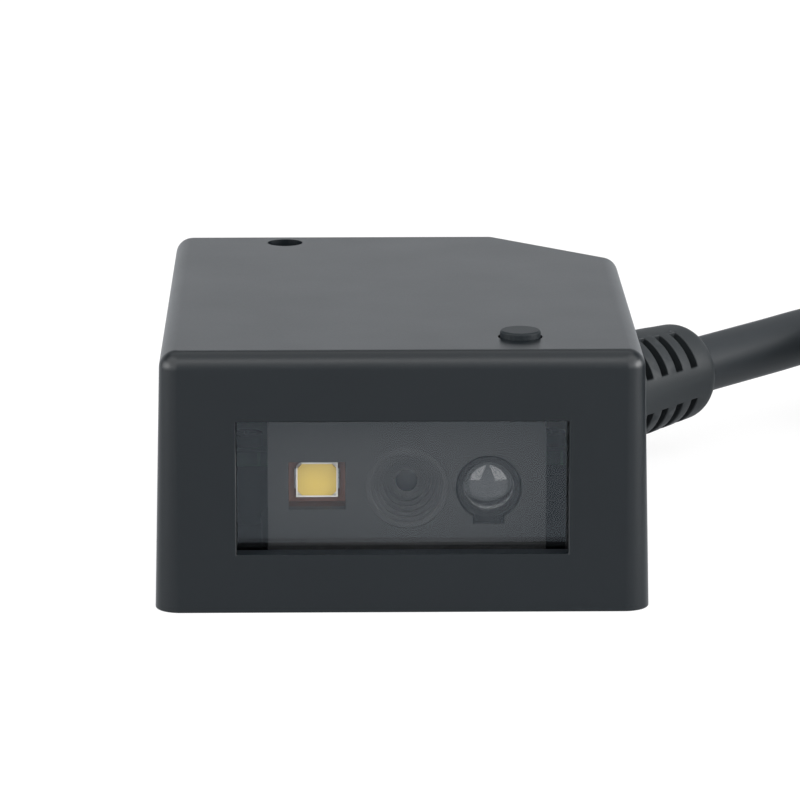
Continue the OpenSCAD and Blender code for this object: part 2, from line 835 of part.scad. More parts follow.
module decoder_board() {
    color("#1f5b3a") translate([0, 0, board_z]) difference() {
        linear_extrude(board_t) polygon([
            [-board_half_w, board_front_y], [board_half_w, board_front_y],
            [board_half_w, board_cut - board_half_w], [board_cut - board_rear_y, board_rear_y],
            [board_step_x, board_rear_y], [board_step_x, board_step_y], [-board_half_w, board_step_y]
        ]);
        for (p = board_screw_places) translate([p[0], p[1], -eps])
            cylinder(h = board_t + 2 * eps, d = small_screw_d + 2 * fit_gap);
    }
}

// Chip with a row of legs on each side
module decoder_chip() {
    color("#1a1b1d") translate([0, chip_y, board_top]) {
        box(0, -chip_w / 2, leg_t, chip_w, chip_w, chip_t);
        for (side = [0, 90, 180, 270], i = [0:leg_count - 1]) rotate(side)
            box((i - (leg_count - 1) / 2) * leg_pitch, chip_w / 2 - leg_l / 2, 0, leg_pitch / 2, leg_l,
                leg_t);
    }
}

module board_screws() {
    color("#8d9094") for (p = board_screw_places) translate([p[0], p[1], board_top])
        pan_screw(small_screw_d, small_screw_head, board_screw_l);
}

module beeper() {
    color("#17181a") translate([beeper_x, beeper_y, board_top]) difference() {
        cylinder(h = beeper_h, d = beeper_d);
        translate([0, 0, beeper_h / 2]) cylinder(h = beeper_h, d = beeper_port_d);
    }
}

module cable_header() {
    color("#e3ddcb") difference() {
        box(header_x, header_y, board_top, header_w, header_d, header_h);
        box(header_x, header_y + header_wall, board_top + header_wall, header_w - 2 * header_wall, header_d,
            header_h - 2 * header_wall);
    }
}

module inner_plug() {
    color("#efeae0") box(header_x, header_y + header_wall, board_top + header_wall + fit_gap, plug_w,
        plug_d, plug_h);
}

// Wires that spread from the end of the cable to the inner plug
module wire_leads() {
    end = lead_route[0];
    start_y = header_y + header_wall + plug_d;
    start_z = board_top + header_h / 2;
    color("#7a3b36") for (k = [0:wire_count - 1]) {
        place = (k - (wire_count - 1) / 2) * wire_pitch;
        tube([
            [header_x + place, start_y, start_z],
            [header_x + place, start_y + wire_run, start_z],
            [(header_x + end[0]) / 2 - wire_drop + place, (start_y + end[1]) / 2 - wire_set * place,
             start_z - wire_drop],
            [end[0] - wire_run + wire_spread * place, end[1] - wire_back - wire_spread * place,
             end[2] + wire_rise],
            [end[0] - wire_set + wire_entry * place, end[1] - wire_set - wire_entry * place, end[2]]
        ], wire_d, 8);
    }
}

// Moulded relief with a groove that grips the wall and rings of flex slots
module strain_relief() {
    inside = -wall - fit_gap;
    tip = relief_tip_d / 2 - relief_tip_r;
    start = relief_l - relief_tip_r;
    arc = [for (a = [0:round_step:90]) [tip + relief_tip_r * cos(a), start + relief_tip_r * sin(a)]];
    bore_r = cable_d / 2 + bore_gap;
    color("#34373a") at_gland() difference() {
        rotate_extrude() polygon(concat(
            [[bore_r, inside - relief_flange_t], [relief_flange_d / 2, inside - relief_flange_t],
             [relief_flange_d / 2, inside], [neck_d / 2, inside], [neck_d / 2, fit_gap],
             [relief_d / 2, fit_gap]],
            arc, [[bore_r, relief_l]]));
        for (i = [0:slot_rings - 1], turn = [0:90:270])
            translate([0, 0, slot_first + i * slot_pitch]) rotate(turn + 45 - slot_angle / 2)
                rotate_extrude(angle = slot_angle) translate([slot_floor, -slot_w / 2])
                    square([relief_d, slot_w]);
    }
}

module cable_lead() {
    color("#3e4144") tube(lead_route, cable_d);
}

// Rectangle with round corners, centred
module soft_rectangle(w, h, r) {
    square([w - 2 * r, h], center = true);
    square([w, h - 2 * r], center = true);
    for (x = [-1, 1], y = [-1, 1]) translate([x * (w / 2 - r), y * (h / 2 - r)]) circle(r);
}

module cable_coil() {
    color("#3e4144") translate([coil_mid[0], coil_mid[1], coil_lift + coil_h / 2]) rotate_extrude()
        translate([coil_mid_r, 0]) soft_rectangle(coil_turns * cable_d, coil_h, coil_round);
}

module coil_tie() {
    w = coil_turns * cable_d + 2 * tie_gap;
    h = coil_h + 2 * tie_gap;
    color("#1c1d1f") translate([coil_mid[0], coil_mid[1], coil_lift + coil_h / 2]) rotate(tie_angle)
        translate([coil_mid_r, tie_w / 2, 0]) rotate([90, 0, 0]) linear_extrude(tie_w) difference() {
            soft_rectangle(w + 2 * tie_t, h + 2 * tie_t, coil_round + tie_t);
            soft_rectangle(w, h, coil_round);
        }
}

module cable_tail() {
    color("#3e4144") tube(tail_route, cable_d);
}

// Places a child on the far plug, whose y axis points back along the cable
module at_plug() {
    translate(plug_place) rotate(-90) children();
}

// Grip of the far plug, with a tapered neck and finger grooves
module plug_overmould() {
    color("#303336") at_plug() difference() {
        union() {
            along_y(0, -usb_neck_l, 0) cylinder(h = usb_neck_l, d1 = usb_neck_d + 1, d2 = usb_neck_d);
            translate([0, -usb_neck_l, 0]) rotate([90, 0, 0]) linear_extrude(usb_l)
                soft_rectangle(usb_w, usb_h, usb_round);
        }
        along_y(0, -tail_set, 0) cylinder(h = usb_neck_l, d = cable_d + 2 * bore_gap);
        box(0, -usb_neck_l - usb_l - eps, -shell_h / 2 - bore_gap, shell_w + 2 * bore_gap, shell_in,
            shell_h + 2 * bore_gap);
        for (i = [0:groove_count - 1], side = [-1, 1])
            box(0, -usb_neck_l - groove_start - i * groove_pitch, side * usb_h / 2 - groove_t,
                usb_w - 2 * (usb_round + groove_margin), groove_w, 2 * groove_t);
    }
}

module plug_shell() {
    length = shell_out + shell_in - eps;
    color("#b9bcc0") at_plug() difference() {
        box(0, shell_start_y, -shell_h / 2, shell_w, length, shell_h);
        box(0, shell_start_y - over, -shell_h / 2 + shell_t, shell_w - 2 * shell_t, length + 2 * over,
            shell_h - 2 * shell_t);
        for (x = [-1, 1]) box(x * shell_window_x, shell_start_y + shell_window_y, -shell_h,
            shell_window_w, shell_window_l, 2 * shell_h);
    }
}

module plug_insulator() {
    length = shell_out + shell_in - insulator_set - insulator_end;
    color("#ececea") at_plug() box(0, shell_start_y + insulator_set, shell_h / 2 - shell_t - insulator_h,
        shell_w - 2 * shell_t - 2 * fit_gap, length, insulator_h);
}

module plug_contacts() {
    contact_z = shell_h / 2 - shell_t - insulator_h - contact_t;
    color("#c9a54a") at_plug() for (k = [0:contact_count - 1])
        box((k - (contact_count - 1) / 2) * contact_pitch, shell_start_y + contact_set, contact_z,
            contact_w, contact_l, contact_t);
}

housing();
base_plate();
base_screws();
mount_inserts();
window_seal();
window_pane();
trigger_button();
switch_plunger();
tact_switch();
button_board();
button_flex();
engine_chassis();
engine_screws();
led_board();
illumination_led();
led_phosphor();
led_terminals();
lens_barrel();
front_lens();
rear_lens();
image_sensor();
sensor_board();
sensor_screws();
aimer_holder();
aimer_lens();
aimer_emitter();
sensor_connector();
flex_cable();
flex_connector();
decoder_board();
decoder_chip();
board_screws();
beeper();
cable_header();
inner_plug();
wire_leads();
strain_relief();
cable_lead();
cable_coil();
coil_tie();
cable_tail();
plug_overmould();
plug_shell();
plug_insulator();
plug_contacts();
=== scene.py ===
"""Looks of a small fixed barcode reader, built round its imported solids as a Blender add-on."""

import json
import math

import bmesh
import bpy
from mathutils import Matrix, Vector


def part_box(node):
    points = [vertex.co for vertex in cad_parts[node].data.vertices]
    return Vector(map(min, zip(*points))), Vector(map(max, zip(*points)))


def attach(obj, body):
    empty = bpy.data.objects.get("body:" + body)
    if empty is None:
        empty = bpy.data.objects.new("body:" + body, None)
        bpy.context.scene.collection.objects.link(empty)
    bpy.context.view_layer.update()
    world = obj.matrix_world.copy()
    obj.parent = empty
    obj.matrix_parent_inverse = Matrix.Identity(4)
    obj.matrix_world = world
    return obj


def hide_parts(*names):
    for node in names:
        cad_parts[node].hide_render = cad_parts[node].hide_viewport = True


bl_info = {
    "name": "Fixed barcode reader",
    "version": (1, 0, 0),
    "blender": (4, 5, 0),
    "location": "3D View > Sidebar > Reader",
    "description": "Dresses the solids of a fixed barcode reader with its finishes, cable and stage",
    "category": "Object",
}

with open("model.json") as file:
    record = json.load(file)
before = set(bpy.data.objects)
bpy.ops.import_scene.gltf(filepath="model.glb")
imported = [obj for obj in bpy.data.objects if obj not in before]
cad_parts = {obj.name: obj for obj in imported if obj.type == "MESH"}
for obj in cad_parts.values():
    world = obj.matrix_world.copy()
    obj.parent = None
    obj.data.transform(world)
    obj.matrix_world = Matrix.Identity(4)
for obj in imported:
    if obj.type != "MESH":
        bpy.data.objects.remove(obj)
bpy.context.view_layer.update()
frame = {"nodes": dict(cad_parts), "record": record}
NODES = frame["nodes"]
SLOT_OF = {part["node"]: part["material_slot"] for part in frame["record"]["subparts"]}
BODY_OF = {node: body for body, members in frame["record"]["behaviour"]["bodies"].items() for node in members}
MM = 0.001

# How the solids' triangles are joined and which of their edges count as crisp
SOLID_WELD = 0.5e-6
SPUN_WELD = 1e-7
FLAT_DEG = 0.3
CREASE_DEG = 32
ROUND_CREASE_DEG = 40

# How near to a face or a rim an edge lies that belongs to it
FOOT_REACH = 0.05 * MM
RIM_REACH = 0.1 * MM
CAP_REACH = 0.5 * MM
GRIP_REACH = 1 * MM
FRAME_REACH = 0.5 * MM
SILL_REACH = 2 * MM

# Painted shade inside the shell behind the pane, near black and dull, and painted reflected light on the walls
# of the LED pocket, brown as if lit by the board
SHELL_INSET = 1 * MM
SHELL_PAINTED_SHADE = (0.001, 0.001, 0.001)
POCKET_MARGIN = 0.9 * MM

# Width of a patch of even gloss on the moulded surfaces, in grains, and specks of dust on them
GRAINS_PER_PATCH = 45.0
SPECK_CELL = 1.6 * MM
SPECK_REACH = 0.11
SPECK_COLOUR = (0.12, 0.12, 0.12, 1)

# Domes of the two front lenses, as radius by diameter, and the cone in the back of the aimer's
AIMER_DOME = 1.0
IMAGING_DOME = 0.865
AIMER_HOLLOW = 0.35 * MM

# Sides and steps of the cable's round skin
CABLE_SIDES = 6
CABLE_STEPS = 6

# Camera, floor and softboxes; a softbox has a name, the power it takes, its share of that, a place and a size
SENSOR_WIDTH = 36
CAMERA_CLIP = (0.01, 20)
FLOOR_GAP = 0.02 * MM
FLOOR_SEGMENTS = 96
LIGHT_AIM = (0, 0, 0.01)
SOFTBOXES = (
    ("front left", "front_power", 1.0, (-0.53, -0.49, 0.5), (1.2, 1.2)),
    ("front right", "front_power", 1.0, (0.53, -0.49, 0.5), (1.2, 1.2)),
    ("top", "top_power", 1.0, (0, 0.1, 0.85), (1.0, 1.1)),
    ("left", "side_power", 0.5, (-0.6, -0.12, 0.14), (0.5, 0.26)),
    ("right", "side_power", 1.0, (0.6, -0.12, 0.14), (0.5, 0.26)),
)

# Route of the cable in millimetres, measured from the gland in x and y and from the floor in z
LEAD_STEPS = (-4, 0, 7, 14, 20, 25)
LEAD_DROP = ((29, 29, 7.1), (33, 33, 5.9), (37, 37, 4.3))
TAIL_STEPS = (
    (63, 54.5, 8), (74, 55.5, 7.6), (86.5, 51.5, 7.1), (96.5, 44.5, 6.6), (104, 34.5, 6), (108, 23.5, 5.4),
    (109, 13, 4.9), (109, 2, 4.5), (109, -11, 4.1), (106, -22, 4), (98, -30, 4), (91, -32.6, 4), (85, -33, 4),
    (82, -33, 4), (79.5, -33, 4),
)
GLAND_HEIGHT = 6.5
GLAND_TO_PLUG = (81.5, -33)
GLAND_RISE_DEG = 1.3
COIL_FROM_GLAND = (67, 15)
COIL_START_DEG = 135
COIL_OUTER_R = 36.77
COIL_INNER_R = 21.77
COIL_PITCH = 5.0
COIL_LAYER_Z = (3.3, 8.3)
COIL_CLIMB = (3.0, 3.5)
COIL_CLIMB_DIP = 0.8
COIL_END = 6.95
COIL_POINTS_PER_TURN = 16


def colour(name, description, default):
    """Colour property with its default."""
    return bpy.props.FloatVectorProperty(
        name=name, description=description, subtype="COLOR", size=3, min=0, max=1, default=default
    )


def length(name, description, default):
    """Length property in metres, given in millimetres."""
    return bpy.props.FloatProperty(
        name=name, description=description, unit="LENGTH", min=0, default=default * MM
    )


class ReaderSizes(bpy.types.PropertyGroup):
    """Small sizes of the finish that the solids leave out."""

    case_edge: length("Case edge", "Rounding of the moulded edges of the housing", 0.12)
    base_edge: length("Base edge", "Rounding of the edges of the base plate", 0.15)
    button_edge: length("Button edge", "Rounding of the edges of the button cap", 0.05)
    engine_edge: length("Engine edge", "Rounding of the edges of the engine chassis", 0.03)
    barrel_gap: length("Barrel gap", "Gap round the lens barrel that its glue fills", 0.145)
    pad_depth: length("Pad depth", "Depth of the foam pad under the front of the engine", 1.8)
    pad_bulge: length("Pad bulge", "Swell of the pressed sides of the foam pad", 0.08)
    plate: length("Plate", "Thickness of the base plate, on which the pad lies", 2.0)
    small_edge: length("Small edge", "Rounding of the edges of the LED and the contacts", 0.03)
    relief_edge: length("Relief edge", "Rounding of the edges of the strain relief's slots", 0.12)
    plug_edge: length("Plug edge", "Rounding of the edges of the plug", 0.12)
    shell_edge: length("Shell edge", "Rounding of the edges of the plug's shell", 0.08)
    screw_edge: length("Screw edge", "Rounding of the edges of the screw heads", 0.06)
    tie_edge: length("Tie edge", "Rounding of the edges of the coil tie", 0.15)
    cable: length("Cable", "Diameter of the cable", 5.0)
    cable_length: bpy.props.FloatProperty(
        name="Cable length", description="Real length of the cable", unit="LENGTH", default=1.52
    )
    grain: length("Grain", "Size of the grain of the moulded surfaces", 0.16)


class ReaderColours(bpy.types.PropertyGroup):
    """Colours of the finishes."""

    case: colour("Case", "Satin black moulding of the housing and base", (0.0018, 0.0032, 0.0044))
    button: colour("Button", "Black cap of the button", (0.0076, 0.0094, 0.0108))
    pane: colour("Pane", "Tint of the window pane", (0.90, 0.905, 0.91))
    foam: colour("Foam", "Foam seal round the pane", (0.016, 0.017, 0.019))
    pad: colour("Pad", "Foam pad under the engine", (0.0095, 0.0100, 0.0105))
    engine: colour("Engine", "Dark grey moulding of the engine", (0.0183, 0.0187, 0.0189))
    barrel: colour("Barrel", "Dark grey of the lens barrel", (0.0222, 0.0225, 0.0228))
    sleeve: colour("Sleeve", "Black of the aimer sleeve", (0.004, 0.0042, 0.0045))
    led: colour("LED body", "White moulding of the LED", (0.70, 0.685, 0.65))
    phosphor: colour("Phosphor", "Yellow filling of the LED", (0.545, 0.388, 0.068))
    led_board: colour("LED board", "Copper brown floor of the LED pocket", (0.16, 0.062, 0.037))
    # Painted reflected light: brown painted on the engine's walls round the LED, standing in for light thrown
    # on them by the board
    pocket: colour("Pocket", "Walls of the LED pocket, brown from the board", (0.056, 0.027, 0.019))
    optic: colour("Optic", "Clear moulded lens", (0.93, 0.95, 0.96))
    coated: colour("Coated optic", "Coated glass of the imaging lens", (0.55, 0.60, 0.66))
    # Painted shade: the decoder board's screws are kept near black so that they stay dark behind the pane
    painted_shade_steel: colour("Black steel", "Blackened screws of the decoder board", (0.020, 0.020, 0.021))
    steel: colour("Steel", "Plated screws, terminals and shell", (0.56, 0.57, 0.58))
    brass: colour("Brass", "Threaded inserts and gilt contacts", (0.72, 0.50, 0.20))
    board: colour("Board", "Solder mask of the boards", (0.012, 0.085, 0.035))
    track: colour("Track", "Tracks under the solder mask", (0.030, 0.150, 0.060))
    film: colour("Film", "Polyimide film of the flexes", (0.42, 0.17, 0.035))
    ivory: colour("Ivory", "Connector mouldings", (0.72, 0.66, 0.52))
    chip: colour("Chip", "Black moulding of the chip and the beeper", (0.014, 0.014, 0.015))
    sensor: colour("Sensor", "Cover of the image sensor", (0.012, 0.020, 0.028))
    emitter: colour("Emitter", "Smoky epoxy of the aimer's emitter", (0.008, 0.008, 0.009))
    wire: colour("Wire", "Insulation of the wires", (0.22, 0.035, 0.030))
    cable: colour("Cable", "Jacket of the cable", (0.0116, 0.0138, 0.0158))
    relief: colour("Relief", "Moulded strain relief", (0.0092, 0.0112, 0.0126))
    tie: colour("Tie", "Woven coil tie", (0.008, 0.0085, 0.009))
    plug: colour("Plug", "Grip of the plug", (0.0100, 0.0118, 0.0132))
    floor: colour("Floor", "Pale floor and wall", (0.86, 0.86, 0.86))
    mirrored: colour("Mirrored floor", "White of floor and wall in mirrors and glass", (0.85, 0.885, 0.925))
    world: colour("World", "Even light of the room", (0.30, 0.30, 0.305))


class ReaderStage(bpy.types.PropertyGroup):
    """Camera, floor and lights."""

    camera_place: bpy.props.FloatVectorProperty(
        name="Camera place", description="Place of the camera", subtype="TRANSLATION", unit="LENGTH",
        default=(-0.0057813, -0.3770746, 0.0989782),
    )
    camera_aim: bpy.props.FloatVectorProperty(
        name="Camera aim", description="Direction in which the camera looks", subtype="DIRECTION",
        default=(0.01538472, 0.97392957, -0.22632831),
    )
    camera_lens: bpy.props.FloatProperty(
        name="Camera lens", description="Focal length in millimetres on a 36 mm sensor", default=211.5
    )
    wall_radius: length("Wall radius", "Distance of the pale wall round the floor", 1600)
    wall_height: length("Wall height", "Height of the pale wall", 760)
    floor_white: bpy.props.FloatProperty(
        name="Floor white", description="Share of plain white that the camera sees on floor and wall",
        subtype="FACTOR", min=0, max=1, default=0.9,
    )
    front_power: bpy.props.FloatProperty(
        name="Front power", description="Power of each large softbox in front", unit="POWER", default=15.8
    )
    top_power: bpy.props.FloatProperty(
        name="Top power", description="Power of the wide softbox overhead", unit="POWER", default=4.7
    )
    side_power: bpy.props.FloatProperty(
        name="Side power", description="Power of the low softbox at the right, twice that at the left",
        unit="POWER", default=5.2,
    )


class ReaderSettings(bpy.types.PropertyGroup):
    """Everything that the operators read."""

    sizes: bpy.props.PointerProperty(type=ReaderSizes)
    colours: bpy.props.PointerProperty(type=ReaderColours)
    stage: bpy.props.PointerProperty(type=ReaderStage)


def settings():
    """Settings of the reader in the scene."""
    return bpy.context.scene.reader


def add(tree, kind, options=None, inputs=None):
    """Adds a node, sets its options and fills its inputs with values or with other nodes' outputs."""
    node = tree.nodes.new(kind)
    for key, value in (options or {}).items():
        setattr(node, key, value)
    for key, value in (inputs or {}).items():
        if isinstance(value, bpy.types.NodeSocket):
            tree.links.new(value, node.inputs[key])
        else:
            node.inputs[key].default_value = value
    return node


def math_node(tree, operation, *values):
    """Adds a math node and gives its result."""
    return add(tree, "ShaderNodeMath", {"operation": operation}, dict(enumerate(values))).outputs[0]


def shader_group(name, inputs, outputs):
    """Gives an empty node group with named sockets and its two ends, or the finished one and None."""
    group = bpy.data.node_groups.get(name)
    if group:
        return group, None, None
    group = bpy.data.node_groups.new(name, "ShaderNodeTree")
    for title, kind in inputs:
        group.interface.new_socket(title, in_out="INPUT", socket_type="NodeSocket" + kind)
    for title, kind in outputs:
        group.interface.new_socket(title, in_out="OUTPUT", socket_type="NodeSocket" + kind)
    start = group.nodes.new("NodeGroupInput").outputs
    end = group.nodes.new("NodeGroupOutput").inputs
    return group, start, end


def place_group(tree, group, values):
    """Places a node group in a material with its own values."""
    return add(tree, "ShaderNodeGroup", {"node_tree": group}, values)


def moulded_grain():
    """Fine spark-eroded grain: a height for the bump and a roughness that drifts in soft patches."""
    group, start, end = shader_group(
        "Moulded grain",
        (("Vector", "Vector"), ("Size", "Float"), ("Roughness", "Float"), ("Spread", "Float")),
        (("Height", "Float"), ("Roughness", "Float")),
    )
    if start:
        fine_scale = math_node(group, "DIVIDE", 1.0, start["Size"])
        patch_scale = math_node(group, "DIVIDE", fine_scale, GRAINS_PER_PATCH)
        fine = add(group, "ShaderNodeTexNoise", None,
                   {"Vector": start["Vector"], "Scale": fine_scale, "Detail": 2.0, "Roughness": 0.6})
        patch = add(group, "ShaderNodeTexNoise", None,
                    {"Vector": start["Vector"], "Scale": patch_scale, "Detail": 3.0, "Roughness": 0.55})
        mixed = math_node(group, "ADD", fine.outputs["Fac"], patch.outputs["Fac"])
        centred = math_node(group, "SUBTRACT", mixed, 1.0)
        rough = math_node(group, "MULTIPLY_ADD", centred, start["Spread"], start["Roughness"])
        group.links.new(fine.outputs["Fac"], end["Height"])
        group.links.new(rough, end["Roughness"])
    return group


def tone_drift():
    """Slow lightening and darkening of a colour, as in pigmented mouldings."""
    group, start, end = shader_group(
        "Tone drift",
        (("Vector", "Vector"), ("Colour", "Color"), ("Size", "Float"), ("Amount", "Float")),
        (("Colour", "Color"),),
    )
    if start:
        scale = math_node(group, "DIVIDE", 1.0, start["Size"])
        noise = add(group, "ShaderNodeTexNoise", None,
                    {"Vector": start["Vector"], "Scale": scale, "Detail": 4.0, "Roughness": 0.6})
        centred = math_node(group, "SUBTRACT", noise.outputs["Fac"], 0.5)
        share = math_node(group, "MULTIPLY_ADD", centred, start["Amount"], 1.0)
        scaled = add(group, "ShaderNodeVectorMath", {"operation": "SCALE"},
                     {"Vector": start["Colour"], "Scale": share})
        group.links.new(scaled.outputs["Vector"], end["Colour"])
    return group


def dust_specks():
    """Mask of sparse dust specks."""
    group, start, end = shader_group(
        "Dust specks",
        (("Vector", "Vector"), ("Size", "Float"), ("Cover", "Float")),
        (("Mask", "Float"),),
    )
    if start:
        scale = math_node(group, "DIVIDE", 1.0, start["Size"])
        cells = add(group, "ShaderNodeTexVoronoi", {"feature": "F1"},
                    {"Vector": start["Vector"], "Scale": scale, "Randomness": 1.0})
        near = math_node(group, "LESS_THAN", cells.outputs["Distance"], SPECK_REACH)
        pick = math_node(group, "LESS_THAN", cells.outputs["Color"], start["Cover"])
        group.links.new(math_node(group, "MULTIPLY", near, pick), end["Mask"])
    return group


def start_material(name):
    """New material with its tree, its shader and the object's own coordinates."""
    material = bpy.data.materials.new(name)
    material.use_nodes = True
    tree = material.node_tree
    place = add(tree, "ShaderNodeTexCoord").outputs["Object"]
    return material, tree, tree.nodes["Principled BSDF"], place


def bump(tree, shader, height, depth):
    """Feeds a height to the shader's normal."""
    node = add(tree, "ShaderNodeBump", None, {"Height": height, "Distance": depth, "Strength": 1.0})
    tree.links.new(node.outputs["Normal"], shader.inputs["Normal"])


def moulded(name, tint, roughness, grain=1.0, depth=0.006, specular=0.5, drift=0.2, dust=0.0, coat=0.0):
    """Moulded plastic or rubber: drifting tone, specks of dust and fine grain, its depth in millimetres."""
    material, tree, shader, place = start_material(name)
    tone = place_group(tree, tone_drift(), {
        "Vector": place, "Colour": (*tint, 1), "Size": 9 * MM, "Amount": drift,
    })
    result = tone.outputs["Colour"]
    if dust:
        specks = place_group(tree, dust_specks(), {"Vector": place, "Size": SPECK_CELL, "Cover": dust})
        mixed = add(tree, "ShaderNodeMix", {"data_type": "RGBA"}, {"Factor": specks.outputs["Mask"]})
        tree.links.new(result, mixed.inputs["A"])
        mixed.inputs["B"].default_value = SPECK_COLOUR
        result = mixed.outputs["Result"]
    surface = place_group(tree, moulded_grain(), {
        "Vector": place, "Size": settings().sizes.grain * grain, "Roughness": roughness, "Spread": 0.05,
    })
    tree.links.new(result, shader.inputs["Base Color"])
    tree.links.new(surface.outputs["Roughness"], shader.inputs["Roughness"])
    bump(tree, shader, surface.outputs["Height"], depth * MM)
    shader.inputs["Specular IOR Level"].default_value = specular
    shader.inputs["Coat Weight"].default_value = coat
    return material


def inside_box():
    """Mask of the points inside a box."""
    group, start, end = shader_group(
        "Inside box", (("Vector", "Vector"), ("Low", "Vector"), ("High", "Vector")), (("Mask", "Float"),)
    )
    if start:
        above = add(group, "ShaderNodeVectorMath", {"operation": "SUBTRACT"},
                    {0: start["Vector"], 1: start["Low"]})
        below = add(group, "ShaderNodeVectorMath", {"operation": "SUBTRACT"},
                    {0: start["High"], 1: start["Vector"]})
        nearest = add(group, "ShaderNodeVectorMath", {"operation": "MINIMUM"},
                      {0: above.outputs[0], 1: below.outputs[0]})
        axes = add(group, "ShaderNodeSeparateXYZ", None, {0: nearest.outputs[0]}).outputs
        least = math_node(group, "MINIMUM", math_node(group, "MINIMUM", axes[0], axes[1]), axes[2])
        group.links.new(math_node(group, "GREATER_THAN", least, 0.0), end["Mask"])
    return group


def paint_light_in_box(material, low, high, tint):
    """Paints light or shade into a material inside a box and makes it dull there: painted shade inside the
    shell, painted reflected light in the LED pocket.
    """
    tree = material.node_tree
    inputs = tree.nodes["Principled BSDF"].inputs
    place = add(tree, "ShaderNodeTexCoord").outputs["Object"]
    mask = place_group(tree, inside_box(), {"Vector": place, "Low": low, "High": high}).outputs["Mask"]
    mixed = add(tree, "ShaderNodeMix", {"data_type": "RGBA"}, {"Factor": mask})
    tree.links.new(inputs["Base Color"].links[0].from_socket, mixed.inputs["A"])
    mixed.inputs["B"].default_value = (*tint, 1)
    tree.links.new(mixed.outputs["Result"], inputs["Base Color"])
    dull = math_node(tree, "MAXIMUM", inputs["Roughness"].links[0].from_socket, mask)
    tree.links.new(dull, inputs["Roughness"])
    return material


def shell_front():
    """Corners of the front half of the hollow behind the pane, between the walls of the housing, where the
    case is painted with shade.
    """
    low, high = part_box("housing")
    inset = Vector((SHELL_INSET, 0, SHELL_INSET))
    start, end = low + inset, high - inset
    start.y, end.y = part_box("window_pane")[0].y, 0
    return start, end


def around(node, margin):
    """Corners of the box round a node, a margin wider on every side."""
    low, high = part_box(node)
    reach = Vector((margin, margin, margin))
    return low - reach, high + reach


def metal(name, tint, roughness, stretch=(1, 1, 8)):
    """Plated or turned metal with fine drawn lines."""
    material, tree, shader, place = start_material(name)
    mapping = add(tree, "ShaderNodeMapping", None, {"Vector": place, "Scale": stretch})
    lines = place_group(tree, moulded_grain(), {
        "Vector": mapping.outputs["Vector"], "Size": 0.25 * MM, "Roughness": roughness, "Spread": 0.25,
    })
    tone = place_group(tree, tone_drift(), {
        "Vector": place, "Colour": (*tint, 1), "Size": 2 * MM, "Amount": 0.3,
    })
    tree.links.new(tone.outputs["Colour"], shader.inputs["Base Color"])
    tree.links.new(lines.outputs["Roughness"], shader.inputs["Roughness"])
    bump(tree, shader, lines.outputs["Height"], 0.003 * MM)
    shader.inputs["Metallic"].default_value = 1.0
    return material


def clear(name, tint, ior, roughness=0.0, gleam=(1, 1, 1)):
    """Clear or tinted optic that lets the lamps through to what lies behind; gleam tints what it mirrors."""
    material, tree, shader, place = start_material(name)
    tone = place_group(tree, tone_drift(), {
        "Vector": place, "Colour": (*tint, 1), "Size": 12 * MM, "Amount": 0.03,
    })
    tree.links.new(tone.outputs["Colour"], shader.inputs["Base Color"])
    shader.inputs["Transmission Weight"].default_value = 1.0
    shader.inputs["Roughness"].default_value = roughness
    shader.inputs["IOR"].default_value = ior
    shader.inputs["Specular Tint"].default_value = (*gleam, 1)
    lamp = add(tree, "ShaderNodeBsdfTransparent", None, {"Color": (*tint, 1)})
    path = add(tree, "ShaderNodeLightPath").outputs
    through = math_node(tree, "MAXIMUM", path["Is Shadow Ray"], path["Is Diffuse Ray"])
    mix = add(tree, "ShaderNodeMixShader", None, {0: through, 1: shader.outputs[0], 2: lamp.outputs[0]})
    tree.links.new(mix.outputs[0], tree.nodes["Material Output"].inputs["Surface"])
    return material


def printed_board(name, mask, track):
    """Circuit board: glossy solder mask over a net of tracks."""
    material, tree, shader, place = start_material(name)
    net = add(tree, "ShaderNodeTexBrick", {"offset": 0.5}, {
        "Vector": place, "Color1": (*mask, 1), "Color2": (*mask, 1), "Mortar": (*track, 1),
        "Scale": 1 / MM, "Mortar Size": 0.12, "Brick Width": 1.9, "Row Height": 0.7,
    })
    tone = place_group(tree, tone_drift(), {
        "Vector": place, "Colour": net.outputs["Color"], "Size": 3 * MM, "Amount": 0.4,
    })
    tree.links.new(tone.outputs["Colour"], shader.inputs["Base Color"])
    bump(tree, shader, net.outputs["Fac"], 0.02 * MM)
    shader.inputs["Roughness"].default_value = 0.28
    return material


def woven(name, tint):
    """Woven strap: two crossing sets of threads."""
    material, tree, shader, place = start_material(name)
    threads = [
        add(tree, "ShaderNodeTexWave", {"bands_direction": axis},
            {"Vector": place, "Scale": 520.0, "Distortion": 0.6})
        for axis in ("X", "Z")
    ]
    height = math_node(tree, "MAXIMUM", threads[0].outputs["Fac"], threads[1].outputs["Fac"])
    tone = place_group(tree, tone_drift(), {
        "Vector": place, "Colour": (*tint, 1), "Size": 0.6 * MM, "Amount": 0.8,
    })
    tree.links.new(tone.outputs["Colour"], shader.inputs["Base Color"])
    bump(tree, shader, height, 0.08 * MM)
    shader.inputs["Roughness"].default_value = 0.85
    shader.inputs["Specular IOR Level"].default_value = 0.25
    shader.inputs["Sheen Weight"].default_value = 0.06
    return material


